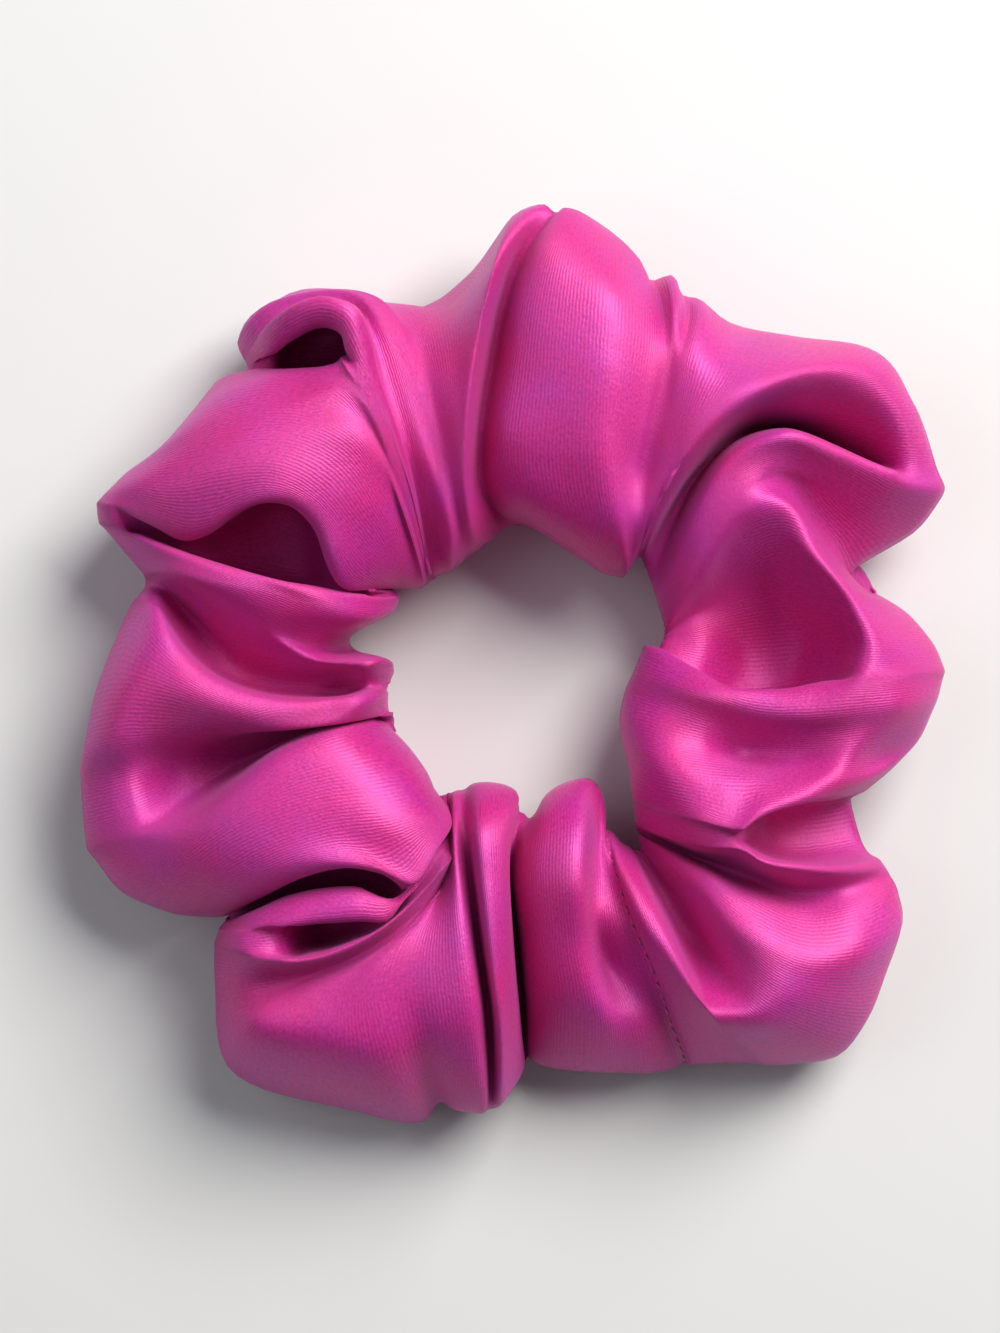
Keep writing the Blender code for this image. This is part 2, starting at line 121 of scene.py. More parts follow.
# Fold lines, clockwise from the top of the ring. Points are in mm from the middle of the
# hole and from the table, from the outer edge over the top to the edge of the hole. Their
# places, as seen from above, are a tracing of a photograph, and their heights are guesses.
FOLDS = (
    # top lobe
    ("top_crease", VALLEY, (6, 63.6, 21), (2.5, 59.5, 21), (-0.5, 53, 20), (-3, 41, 19.5),
     (-4.4, 31, 19), (-3.8, 24.5, 18), (0.5, 20.5, 12.5)),
    ("top_crease_wall", CREST, (7.5, 64, 23), (4.2, 59, 27.5), (1.7, 52, 28.5), (0, 41, 28),
     (-1.3, 31, 27), (-0.5, 25, 24), (4, 19, 13.5)),
    ("top_crest", CREST, (10.8, 62.9, 22), (9.2, 55, 31), (8.4, 47, 33), (7.8, 36, 32.5),
     (7.5, 28, 30.5), (9, 20, 26.5), (12.6, 13.4, 14)),
    ("top_crest_right", CREST, (14.6, 60.5, 20), (14.2, 52, 32), (13.6, 42, 34),
     (13, 34, 33.5), (13.2, 26, 32), (14.3, 19, 28.5), (15.3, 12.6, 14)),
    ("top_shoulder", CREST, (17.8, 57.8, 15), (19.3, 52, 25), (19.3, 44, 29.5),
     (17.4, 34, 29.5), (16.4, 28, 28), (16.3, 20, 27.5), (16.2, 13, 14)),
    # pinched bunch at the outer edge
    ("bunch_low", VALLEY, (19.6, 55, 8), (20.8, 51.3, 20), (21.2, 44, 28.8), (19, 34, 28.3),
     (17.6, 27, 26.5), (17.2, 20, 26.8), (16.6, 13.6, 14)),
    ("bunch_nub", CREST, (22.8, 55.3, 12), (22.9, 50.5, 27), (22.3, 44, 29.3),
     (20.5, 34, 28.8), (18.8, 27, 27), (18, 20, 26.8), (17, 14.2, 14)),
    ("bunch_cleft", VALLEY, (24.6, 52.8, 8), (24.5, 49, 22), (23.4, 43.5, 29.8),
     (21.7, 34.3, 29.8), (19.8, 27, 28.2), (18.5, 20.2, 27), (17.2, 14.5, 14)),
    ("bunch_edge", CREST, (27, 51.8, 13), (26.3, 48, 27), (24.6, 43, 30.7), (23, 35, 31),
     (20.8, 27.5, 29.6), (19, 20.4, 27), (17.4, 14.8, 14)),
    # upper right pocket
    ("right_panel", CREST, (31, 48.8, 10), (30, 44.5, 27), (28, 40, 32), (25.3, 34.5, 33),
     (22.3, 27.5, 31), (19.6, 20.5, 27.3), (17.6, 15.1, 14)),
    ("pocket_d_crest", CREST, (39.5, 46.6, 12), (37, 42.5, 30), (32, 38, 34.5), (26, 31.5, 33.5),
     (21.5, 25.5, 30), (18.2, 15.4, 14)),
    ("pocket_d_brow", CREST, (49.5, 45.2, 14), (46.5, 42.5, 27.5), (38, 39.2, 33),
     (29.8, 33.8, 31.5), (23.5, 26, 27.5), (18.5, 15.1, 13.5)),
    ("pocket_d_wall", CREST, (56.8, 37.5, 15), (53, 36.8, 24), (43, 36.2, 22), (33, 34, 18),
     (25.5, 27, 17), (19, 14, 13)),
    ("pocket_d_floor", VALLEY, (60, 28.8, 15), (55.5, 29, 19), (49, 30.5, 10), (41, 33.8, 8),
     (34, 33.3, 8.5), (26.8, 27.5, 14.5), (19.8, 12, 12.8)),
    ("pocket_d_lip", CREST, (60.6, 23.2, 13), (55, 24.7, 20.5), (45, 29.2, 27),
     (38, 31.7, 30), (31, 29.3, 28.5), (25.5, 21, 25.5), (21, 8, 13.5)),
    ("lip_face", VALLEY, (58, 19.5, 9), (51, 22, 17), (44, 26.3, 22.5), (38.5, 29, 26.5),
     (32, 27, 28), (25.8, 17.5, 25), (21.3, 7, 13)),
    ("right_notch", VALLEY, (48.6, 13.2, 6), (46, 17, 13), (42, 21.5, 18), (38.8, 25.5, 22.5),
     (33.2, 24.5, 28), (26.3, 14.5, 24), (21.6, 6, 12.8)),
    ("notch_face", CREST, (52, 10.8, 7), (47.3, 12.6, 20), (43, 17, 25), (38.5, 22, 28),
     (33, 21, 27.5), (26.8, 12.5, 22), (21.7, 5.3, 12.5)),
    # right pocket, deep, under a rim shaped like a U
    ("pocket_f_ridge", CREST, (52, 10.5, 10), (47.2, 11.5, 25.5), (42, 15.5, 29), (37, 17.5, 24),
     (31.5, 14.5, 20), (26.5, 9, 16), (21.7, 4.7, 12)),
    ("pocket_f_slope", CREST, (57, 7, 12), (51.5, 7, 25), (47.8, 7.7, 28.5), (43.5, 8.5, 19),
     (38, 8.8, 12), (31, 7.5, 12.5), (25, 5.5, 14), (21.6, 4.1, 12.5)),
    ("pocket_f_floor", VALLEY, (60, 3, 14), (54, 3.2, 25), (49.5, 3.5, 28.5), (46, 3.5, 18),
     (41, 3, 9), (34, 2.5, 8), (27, 2.6, 13.5), (21.2, 3.2, 12.3)),
    ("pocket_f_under", VALLEY, (61, 0.5, 15), (54.2, 0.5, 26), (49, 0.3, 28.5),
     (45, -0.8, 16), (39, -2.6, 8), (32, -2.9, 9), (26, -0.7, 14), (20.8, 2.7, 12.3)),
    ("pocket_f_lip", CREST, (61, -2, 15), (54, -3, 27), (47.5, -3.4, 29), (42.5, -3.4, 27.5),
     (37, -3.9, 27), (30.5, -3.2, 26.5), (25, -0.7, 23), (18.5, 2.5, 13)),
    ("lip_f_back", CREST, (60.5, -4, 15), (54, -5, 27), (47.5, -5.7, 28.5), (41, -6.2, 28),
     (34, -6, 27), (26.5, -3.5, 26), (17.5, -0.3, 13)),
    ("lobe_g_panel", CREST, (59.5, -6.5, 15), (53, -8, 25), (47, -9, 26), (40, -9.5, 23),
     (33, -9, 21), (26, -6.7, 24), (16, -3.5, 13)),
    ("lobe_g_dimple", VALLEY, (58, -10, 14), (52, -12, 20.5), (46.5, -12.3, 25.5),
     (40, -12.5, 21), (33, -12, 18), (26.5, -10.5, 23), (21, -9.3, 23), (15.3, -8, 13)),
    ("lobe_g_crest", CREST, (54.5, -14, 12), (49, -16, 23), (43, -16.3, 27), (36, -16, 26),
     (29, -15.8, 27), (22, -14.8, 26), (16.3, -13, 13)),
    # tunnel on the right, closed towards the hole
    ("tunnel_h_rim", CREST, (51, -17.5, 8), (45.5, -18.3, 22), (40, -18.8, 28), (34.5, -20, 30),
     (31, -21.6, 29.5), (25.5, -20, 28), (17, -17.7, 13)),
    ("tunnel_h_roof", VALLEY, (49, -20, 5), (45, -20.6, 8), (40, -21, 10), (36, -21.6, 12),
     (33.2, -22.6, 19), (31, -23, 27.5), (26, -22.3, 27), (17.3, -19.7, 13)),
    ("tunnel_h_floor", VALLEY, (50, -24, 6), (45.5, -24.8, 8), (40, -25.3, 9.5), (36, -25, 12),
     (33.2, -24.3, 19), (31, -24, 27.5), (26, -24, 26), (17.5, -21.3, 13)),
    ("tunnel_h_lip", CREST, (52.5, -27.5, 13), (47, -28, 23), (40, -27.7, 27.5), (35, -27, 29),
     (31.5, -25.4, 28), (27, -25.3, 25), (22, -24, 18), (17.5, -22.4, 12)),
    ("crease_h", VALLEY, (53.7, -29.5, 14), (47, -31.3, 19), (40, -31.8, 17.5), (33, -29.5, 17),
     (27, -27.4, 14), (17.7, -23.2, 10)),
    # lower right lobe
    ("lobe_i_lip", CREST, (54.8, -32, 15), (48.5, -34.5, 22), (41, -35.5, 23.5),
     (33.5, -32.5, 24), (26.5, -28.2, 21.5), (18, -23.9, 12)),
    ("lobe_i_bulge", CREST, (55.5, -36, 14), (49.5, -39, 24), (41, -39.5, 27), (33, -36, 27),
     (25.5, -30, 21.5), (18.1, -24.6, 11)),
    ("lobe_i_panel", CREST, (53.5, -43, 11), (47, -44, 23), (38.5, -42.5, 27.5),
     (31, -37.3, 26), (24.5, -31.3, 18), (18.2, -25.2, 12.5)),
    ("lobe_i_corner", CREST, (51, -50, 9), (43.5, -48.5, 22), (36, -45.5, 27),
     (30.3, -40.5, 22), (25, -34, 15.5), (18.2, -25.7, 12)),
    ("lobe_i_wedge", VALLEY, (47, -55.3, 6), (39.5, -52, 20), (33.2, -48, 26),
     (29.8, -44, 20), (26.7, -38.3, 15), (22.7, -32, 13.7), (17.9, -26, 12)),
    ("lobe_i_hollow", VALLEY, (40, -56.4, 6), (33.8, -53, 19), (29.2, -48.3, 25),
     (26.8, -44, 20), (24.2, -38, 15), (20.8, -31.5, 13.7), (17.4, -25.9, 12)),
    ("lobe_i_crest", CREST, (34, -56.4, 6), (29.3, -51.5, 19), (25.3, -45.5, 26),
     (21.5, -38, 27.5), (18.4, -30.5, 23.5), (16.7, -25.4, 12)),
    ("seam_panel", CREST, (30, -56.6, 6), (26.2, -50.5, 19), (22.3, -42.5, 26),
     (18.9, -36, 27), (16.4, -29, 23.5), (15.5, -24.6, 12)),
    ("seam_high", CREST, (26.3, -57, 6), (23.5, -50, 18), (20.5, -42, 24),
     (17.5, -35, 25.5), (15, -28, 22), (14.5, -23.5, 12)),
    ("seam_low", VALLEY, (25.2, -57.5, 4), (22.5, -50, 16), (19.5, -42, 21.5),
     (16.4, -35, 23), (14.2, -28, 20.5), (13.7, -22.5, 11)),
    # bottom panel, rolls and the dark gap between them
    ("bottom_dimple", VALLEY, (18.5, -58, 6), (17, -50, 18), (14, -42, 17), (12.3, -34, 21.5),
     (12.3, -27, 18.5), (12.3, -17, 12)),
    ("bottom_crest", CREST, (12, -58, 7), (11.5, -48, 22), (9.5, -38, 26), (9, -30, 29),
     (9.3, -22, 26), (8.5, -16, 13)),
    ("bottom_flank", CREST, (6.4, -57.6, 6), (5.8, -47, 20), (4.8, -37, 24), (4.2, -28, 25.5),
     (4.6, -22, 23.5), (4.6, -18.3, 13)),
    ("gap_rim", CREST, (4, -57, 5), (3.4, -47, 17), (2.5, -38, 20), (1.8, -29.5, 22),
     (2.3, -24.5, 21.5), (3.3, -20.8, 13)),
    ("gap_floor", VALLEY, (2.4, -56, 3), (1.5, -47, 6), (0.6, -38, 8), (-0.2, -29.5, 13),
     (0.5, -24.3, 15), (1.4, -20.6, 12)),
    ("roll_right", CREST, (0.8, -59.5, 8), (-0.2, -47, 25), (-1, -38, 28), (-1.6, -29, 28),
     (-1.8, -22.5, 26.5), (-1.2, -18.8, 22), (-1, -16.6, 13)),
    ("roll_top", CREST, (-1.2, -62, 11), (-1.6, -48, 28), (-2.6, -39, 30), (-3.7, -29, 29.5),
     (-4.2, -22.3, 28), (-4, -18.4, 23), (-3.9, -16.2, 13)),
    ("roll_slit", VALLEY, (-3.2, -62.8, 12), (-3.4, -48, 20), (-4.7, -39, 21),
     (-5.8, -29, 21.5), (-6.4, -23, 21), (-6.6, -19.3, 18), (-6.6, -17.2, 12.5)),
    ("roll_left", CREST, (-4.6, -63.4, 12), (-5, -49, 28), (-6.2, -39.5, 29),
     (-7.4, -31, 27.5), (-8, -25.5, 25), (-8.2, -20.8, 21), (-8.1, -17.6, 13)),
    # lower left lobe
    ("lobe_l_fold", CREST, (-8.3, -63, 10), (-9.3, -50, 27), (-10.3, -41, 27.5),
     (-10, -35, 26), (-9.4, -30.5, 23), (-8.9, -25.8, 19), (-8.8, -21, 16),
     (-8.8, -17.8, 12.5)),
    ("lobe_l_step", VALLEY, (-10.7, -62.2, 5), (-13.4, -52, 24), (-14.6, -43, 26.5),
     (-13.3, -37.6, 26), (-11.2, -33.8, 24), (-9.4, -29.4, 20), (-8.6, -25, 16),
     (-9.1, -17.9, 12.5)),
    ("lobe_l_flap", CREST, (-12.5, -65, 4), (-17, -53, 25), (-18.6, -43.5, 27),
     (-16.2, -38.4, 26.5), (-12.8, -35, 25.5), (-9.8, -31, 21.5), (-8.2, -25.9, 16),
     (-9.3, -18, 12.5)),
    ("lobe_l_middle", CREST, (-23, -63, 5), (-25, -51.5, 26), (-23.8, -45, 26.5),
     (-19.2, -40, 26.5), (-14.3, -36, 26), (-10.4, -31.6, 22), (-8, -26.4, 16),
     (-9.5, -18.1, 12.5)),
    ("lobe_l_corner", CREST, (-40, -57.3, 5), (-35.5, -49, 24), (-30.8, -45.2, 24),
     (-22.5, -41.3, 24.5), (-15.3, -36.8, 25), (-10.6, -31.6, 22.5), (-7.8, -26.6, 17),
     (-9.7, -18.1, 12.5)),
    ("lobe_l_top", CREST, (-42, -45.5, 8), (-37, -43.5, 22), (-31, -43, 23.5),
     (-23.7, -40.9, 24), (-16.3, -36.6, 25), (-10.9, -31, 24.5), (-7.6, -26.3, 18.5),
     (-9.9, -18.2, 12.5)),
    # roll bent like an S between two slots
    ("roll_m_rim", CREST, (-42, -40.3, 9), (-37, -40.6, 25), (-32.3, -40.8, 29),
     (-28, -40.4, 29.5), (-22.8, -38.7, 29.5), (-17.4, -35.8, 29), (-12.6, -31.6, 27.5),
     (-9.2, -27.8, 26), (-7.4, -24.7, 20.5), (-10.1, -18.2, 13)),
    ("slot_m_floor", VALLEY, (-41.6, -38.7, 9), (-37, -38.8, 26), (-32.5, -38.8, 25.5),
     (-30.5, -38.7, 20), (-29.7, -38.5, 16.5), (-26.8, -38, 11), (-22.8, -37, 12),
     (-18.5, -35.8, 20), (-13.4, -31.5, 25.8), (-9.8, -27.2, 25), (-7.6, -24.2, 20.2),
     (-10.2, -18.2, 13)),
    ("slot_m_roof", VALLEY, (-41.3, -37.7, 9), (-37, -37.3, 26), (-32.5, -36.6, 25.5),
     (-30.3, -36.4, 20), (-29.3, -36.6, 16.5), (-26.6, -35.9, 11), (-22.6, -35.4, 12),
     (-18.7, -34.9, 20), (-13.8, -31.3, 25.3), (-10.2, -26.8, 24), (-7.8, -23.8, 19.7),
     (-10.3, -18.2, 13)),
    ("roll_m_low", CREST, (-41.2, -37, 8.5), (-36.6, -36, 25.5), (-31, -34.8, 29),
     (-26, -34.2, 30), (-21, -33.8, 30.3), (-17.5, -33.9, 29.5), (-14.2, -31.4, 26.3),
     (-10.5, -26.4, 23.5), (-8, -23.4, 19.2), (-10.4, -18.2, 13)),
    ("roll_m", CREST, (-41, -36.4, 8), (-36.3, -35, 25), (-31, -33.2, 28), (-26, -32.2, 29),
     (-21, -31.9, 29.5), (-17.3, -32.6, 29.5), (-14.6, -31.4, 26), (-10.8, -26, 23),
     (-8.2, -23, 18.8), (-10.5, -18.2, 13)),
    ("slot_n_floor", VALLEY, (-40.6, -35.8, 6), (-36, -33.9, 9), (-30.8, -31.9, 10),
     (-25.3, -31.1, 10), (-20.5, -30.9, 12), (-17, -31.6, 16), (-14.8, -31, 25),
     (-11, -25.6, 22.5), (-8.3, -22.6, 18.6), (-10.6, -18.1, 13)),
    ("slot_n_roof", VALLEY, (-40.5, -35.2, 6), (-35.6, -33, 8), (-30.2, -30.4, 9),
     (-24.5, -29, 9), (-19.5, -29.2, 11), (-16.5, -30.6, 16), (-14.5, -30.5, 26),
     (-11.1, -25.1, 24.5), (-8.5, -22.2, 20), (-10.7, -18, 13)),
    # left lobe and its bowl
    ("lobe_n_edge", CREST, (-43.5, -35.2, 9), (-37, -32.4, 24), (-30, -29, 30),
     (-24, -27.3, 32.5), (-18.5, -27.6, 32), (-14.2, -28.9, 30.5), (-10.9, -24.6, 28.3),
     (-8.6, -21.3, 22), (-10.8, -17.6, 13.5)),
    ("lobe_n_panel", CREST, (-49.5, -34.6, 10), (-42, -29.8, 25), (-33.5, -25.2, 31),
     (-24.5, -22.3, 32), (-16.5, -21.3, 31.5), (-11.9, -20, 28), (-11.1, -16.7, 14)),
    ("lobe_n_top", CREST, (-55.5, -32, 11), (-47, -26.5, 24), (-37.5, -20.3, 30),
     (-27.5, -16.6, 31), (-19.5, -15.2, 30), (-14.5, -14.4, 26), (-12.9, -13.2, 14)),
    ("bowl_lip", CREST, (-58.7, -28, 12), (-50.5, -24.5, 22), (-44, -21.5, 26),
     (-38, -17, 28.5), (-31.5, -12.5, 29), (-23.5, -9.6, 27.5), (-16.8, -8.8, 14)),
    ("bowl_floor", VALLEY, (-60.6, -23.5, 13), (-53, -21, 20), (-46.5, -17.7, 14.5),
     (-40, -14.3, 10), (-33, -11, 9.5), (-25, -8.3, 13), (-17, -7.7, 12)),
    ("bowl_slope", VALLEY, (-61, -17, 14), (-54, -15.5, 20), (-47, -13.5, 14.5),
     (-40, -11, 13), (-33, -8.8, 17), (-25, -7.3, 21), (-16.8, -6.7, 14)),
    ("bowl_ridge", CREST, (-60.5, -10.5, 14), (-54.5, -8.8, 25), (-47.5, -8.6, 25),
     (-40, -8.6, 26), (-32, -8.7, 27.5), (-24, -7.8, 27), (-17.3, -6.3, 14)),
    ("bowl_back", CREST, (-59, -4, 12), (-53.5, -2.5, 26), (-47, -3.8, 29), (-40, -6, 29.5),
     (-32.5, -7.2, 29), (-26, -6.6, 28), (-21, -5.4, 27), (-17.4, -4.2, 14)),
    # left pocket with the knob at the hole
    ("pocket_o_rim", CREST, (-55.5, 5.5, 11), (-51.5, 7.3, 22), (-49, 4.5, 27),
     (-46, 1.2, 28.5), (-42.5, -1.4, 29), (-37, -3.7, 29), (-31, -4.8, 28.5),
     (-25.5, -4.6, 27.5), (-21, -3.9, 26), (-17.5, -3, 14)),
    ("pocket_o_wall", VALLEY, (-53.4, 9.7, 11), (-50, 9.8, 19), (-47.3, 6.2, 17),
     (-44, 2.2, 14), (-39.5, -1.2, 12), (-34, -3, 12.5), (-28.7, -3.4, 14), (-24, -3.1, 15),
     (-20, -2.1, 21), (-16.9, -1.7, 14)),
    ("pocket_o_floor", VALLEY, (-52.5, 11.2, 9), (-49.3, 11, 16), (-46.5, 8, 13),
     (-42.5, 3.8, 12), (-38, 0.4, 12), (-33, -1.2, 13), (-28, -1.6, 15), (-24, -1, 19),
     (-20.3, -0.4, 25), (-16.6, -0.4, 14)),
    ("knob_top", CREST, (-52.3, 11.8, 9), (-49, 11.8, 18), (-45.5, 8.9, 16.5),
     (-40.8, 5.1, 16), (-35.5, 2.2, 17), (-30.3, 0.9, 19.5), (-26.2, 0.2, 21),
     (-22, 0.5, 25.5), (-19.3, 0.9, 25), (-16.9, 0.7, 14)),
    ("pocket_o_panel", CREST, (-52.2, 12.3, 10), (-48.5, 12.3, 20), (-44, 9.8, 19),
     (-39.5, 6.3, 19), (-34.8, 3.6, 20), (-30.3, 2.2, 21.5), (-27, 1.4, 20.5),
     (-23.8, 1.5, 18.5), (-20, 1.9, 12.8)),
    ("knob_notch", VALLEY, (-52.3, 12.7, 10), (-48, 12.6, 22), (-43, 10.4, 23),
     (-38, 7.5, 23), (-33.5, 5, 23), (-29.6, 3.5, 20), (-27, 2.5, 17), (-25, 2.2, 12.8)),
    ("panel_p_low", CREST, (-52.6, 13.3, 10), (-47.5, 13, 24), (-42, 11, 26.5),
     (-36.5, 8.6, 26.5), (-31.8, 6.7, 25.5), (-27.8, 5, 22), (-24.2, 4.2, 13)),
    ("panel_p", CREST, (-54.7, 15.8, 11), (-48, 15, 24), (-40.5, 12.8, 28), (-32.5, 10.5, 28),
     (-25.5, 7.8, 26), (-20.5, 6.8, 22), (-16.8, 7.6, 13)),
    # upper left pocket
    ("pocket_p_lip", CREST, (-57.6, 19.4, 13), (-53.6, 18.2, 19.5), (-45, 15.3, 26),
     (-36, 12.8, 28), (-28.5, 10.6, 28), (-21, 8.9, 23), (-15.8, 9.5, 13.5)),
    ("pocket_p_floor", VALLEY, (-58.6, 20.9, 14), (-55.8, 20.3, 20.5), (-51, 18.9, 15.5),
     (-44, 16.2, 9), (-36, 14, 6), (-29.5, 13, 7), (-25, 11, 14), (-20, 10, 19),
     (-16.1, 10.4, 13)),
    ("pocket_p_back", VALLEY, (-58.7, 22.2, 14.5), (-56, 21.8, 21.5), (-51, 20.1, 18),
     (-45, 18.6, 12), (-39.5, 19.7, 8), (-34, 21.5, 6.5), (-29.2, 18.8, 7.5),
     (-25, 12.5, 14.5), (-20, 10.7, 20), (-16.4, 10.8, 13)),
    ("pocket_p_rim", CREST, (-58.1, 23.9, 14.5), (-55, 23.4, 22.5), (-49.3, 21.1, 25.5),
     (-45, 19.6, 26.5), (-41.5, 20.1, 28), (-38, 21.9, 30), (-34, 23, 32), (-30, 22.4, 32),
     (-26.8, 19.6, 31), (-24.6, 15.5, 29.8), (-23, 12.4, 27), (-17, 11, 13.5)),
    ("lobe_p_brow", CREST, (-56.7, 25.4, 14), (-52, 25.7, 25), (-46, 25.5, 29),
     (-39, 26.8, 32), (-32, 26.8, 33.4), (-26.5, 23.8, 32.8), (-22, 18.5, 30),
     (-18.5, 14.5, 25), (-15.6, 11, 13.5)),
    ("lobe_p_crest", CREST, (-54.5, 27.5, 13), (-48, 29.3, 26), (-39, 31, 31.5),
     (-31, 31.3, 33), (-24, 28.3, 33), (-18.5, 21, 29.5), (-14.4, 11, 13)),
    ("lobe_p_panel", CREST, (-50.3, 30, 12), (-45, 33.3, 25.5), (-37, 35.3, 30),
     (-28.5, 35.5, 32), (-21.5, 32, 33), (-16.3, 23.5, 28.5), (-13, 11, 13)),
    # rolled tunnel on the upper left, and the flat fold behind it
    ("tunnel_q_lip", CREST, (-46, 35.2, 10), (-41, 38.2, 22), (-34.8, 39.3, 27),
     (-28.8, 39, 29.5), (-23.8, 38.3, 32), (-19.2, 32.5, 31.5), (-15.2, 22, 28),
     (-12.3, 11.4, 13)),
    ("tunnel_q_edge", CREST, (-42.8, 39.7, 8), (-38.8, 41, 18), (-33.3, 41.2, 24),
     (-28.3, 41.1, 27.5), (-24.4, 40.5, 31), (-20.5, 36.4, 32.6), (-15.5, 24.5, 28.5),
     (-12, 11.6, 13)),
    ("tunnel_q_floor", VALLEY, (-38.8, 41.2, 6), (-36.3, 41.6, 18), (-34, 42.1, 18),
     (-31.8, 42.3, 9), (-27.8, 42.4, 8), (-24.6, 42.7, 12), (-22.7, 41.5, 31.8),
     (-19.6, 37, 32.5), (-15.1, 25.5, 28.4), (-11.7, 11.8, 13)),
    ("tunnel_q_back", VALLEY, (-37.6, 41.7, 6), (-35.8, 43, 18), (-33.5, 44.5, 18),
     (-31.3, 46.5, 9), (-26.8, 48.3, 8), (-23.4, 47.2, 9), (-21.9, 44.8, 13),
     (-21.4, 42, 32.3), (-18.9, 37.4, 31.9), (-14.7, 26, 28.2), (-11.5, 12, 13)),
    ("tunnel_q_hem", CREST, (-37.4, 42, 7), (-35.3, 43.6, 19), (-32.8, 45.3, 26),
     (-30.3, 46.8, 29.5), (-26.3, 48, 32), (-23.6, 47.1, 33), (-22.3, 44.8, 33),
     (-20.7, 41.6, 32.4), (-18.1, 37.3, 31), (-14.3, 26.3, 27.8), (-11.3, 12.1, 13)),
    ("tunnel_q_rim", CREST, (-37.5, 42.6, 8), (-36, 44.9, 19), (-33.4, 47.1, 27),
     (-30.3, 49, 31), (-25.8, 50.1, 33.5), (-22.2, 48.6, 34), (-20.4, 45.3, 33),
     (-18.7, 40.5, 31), (-14.7, 29, 27.7), (-11.1, 12.3, 13)),
    ("tunnel_q_outside", VALLEY, (-38, 43.5, 7), (-36.8, 46, 14), (-33.2, 49.2, 17),
     (-27.5, 51, 19), (-21.3, 49.9, 21), (-19, 45.6, 23.8), (-17.3, 40.3, 25),
     (-13.7, 28.6, 24.6), (-10.8, 12.5, 12.5)),
    ("back_fold", CREST, (-39, 45.3, 7), (-36.5, 49.3, 15), (-29.8, 52, 18),
     (-21.5, 51.4, 21.5), (-17.6, 45.5, 24.3), (-15.4, 39, 25.5), (-12.4, 28, 25.5),
     (-10.1, 12.9, 12.5)),
    ("back_fold_right", CREST, (-32.5, 52.8, 8), (-26.5, 53.3, 16), (-19, 51.8, 20),
     (-14, 42, 25), (-10.8, 30, 26), (-9, 20, 24), (-8.7, 13.4, 12.5)),
    ("top_dip", VALLEY, (-16, 51.8, 9), (-13.5, 48.3, 19), (-11, 40.5, 25.5), (-9, 32, 27),
     (-7.5, 23.5, 25), (-6.7, 15, 12.5)),
    ("top_crest_left", CREST, (-9.5, 51.3, 12), (-8.3, 46, 25.5), (-7.6, 38, 29.5),
     (-7, 29.5, 29), (-6.2, 22, 25), (-4.8, 16.5, 13)),
    ("top_crest_edge", CREST, (-4, 57.2, 14), (-3.8, 52, 29), (-5, 44, 31.5), (-6, 34, 30.5),
     (-5.8, 24, 24.5), (-2.7, 18, 12)),
    ("top_crest_end", CREST, (0.3, 63.6, 17), (-1.3, 58.5, 27), (-3, 52, 29.5), (-4.7, 43, 29.5),
     (-5.7, 33, 27.5), (-5.4, 25, 22.5), (-1.7, 19, 12)),
    ("top_crease_left", CREST, (4, 64.8, 20), (0.8, 60.4, 25), (-1.6, 53.3, 26),
     (-3.9, 42.5, 25), (-5.1, 32.5, 23.5), (-4.8, 25, 20), (-0.6, 19.9, 12.5)),
)
SEAM_FOLD = "seam_low"

# Dyes and the scale of the weave. A wave texture has Scale * 20 / (2 pi) waves to the metre.
WAVES_PER_METRE = 2 * math.pi / 20
RIB_PITCH = 0.42 * MM
RIB_WAVES = WAVES_PER_METRE / RIB_PITCH
THREAD_TWISTS = WAVES_PER_METRE / (0.5 * MM)
BRAID_WAVES = WAVES_PER_METRE / (0.8 * MM)
SATIN_MAGENTA = (0.57, 0.024, 0.26)
SATIN_LILAC = (0.52, 0.028, 0.31)
SATIN_RED = (0.60, 0.022, 0.22)
SATIN_SMOOTHEST = 0.44
SATIN_ROUGHEST = 0.60
GRAIN_SHARE = 0.62
SLUB_SCALE = (3000.0, 1200.0, 1.0)
DYE_CLOUD_SCALE = 75.0
CRUMPLE_SCALE = 260.0


def spacing_shape(spacing, points):
    return spacing.reshape((-1,) + (1,) * (points.ndim - 1))


def lengths(vectors):
    return np.linalg.norm(vectors, axis=-1, keepdims=True)


def closed_curve(points, spacing, at):
    """A smooth closed curve through the points, read at distances counted by the spacing."""
    count = len(points)
    after = spacing_shape(spacing, points)
    before = np.roll(after, 1, 0)
    ahead = (np.roll(points, -1, 0) - points) / after
    behind = (points - np.roll(points, 1, 0)) / before
    slopes = (ahead * before + behind * after) / (after + before)
    # no steeper than twice the smaller step, or the curve would swing past its points
    shortest = np.minimum(lengths(ahead), lengths(behind))
    slopes *= np.minimum(1, 2 * shortest / (lengths(slopes) + 1e-12))
    starts = np.concatenate([[0], np.cumsum(spacing)])
    at = np.mod(at, starts[-1])
    left = np.clip(np.searchsorted(starts, at, "right") - 1, 0, count - 1)
    right = (left + 1) % count
    length = spacing_shape(spacing[left], points)
    share = spacing_shape((at - starts[left]) / spacing[left], points)
    bend = 3 * share**2 - 2 * share**3
    return (
        points[left] * (1 - bend) + points[right] * bend
        + slopes[left] * length * (share**3 - 2 * share**2 + share)
        + slopes[right] * length * (share**3 - share**2)
    )


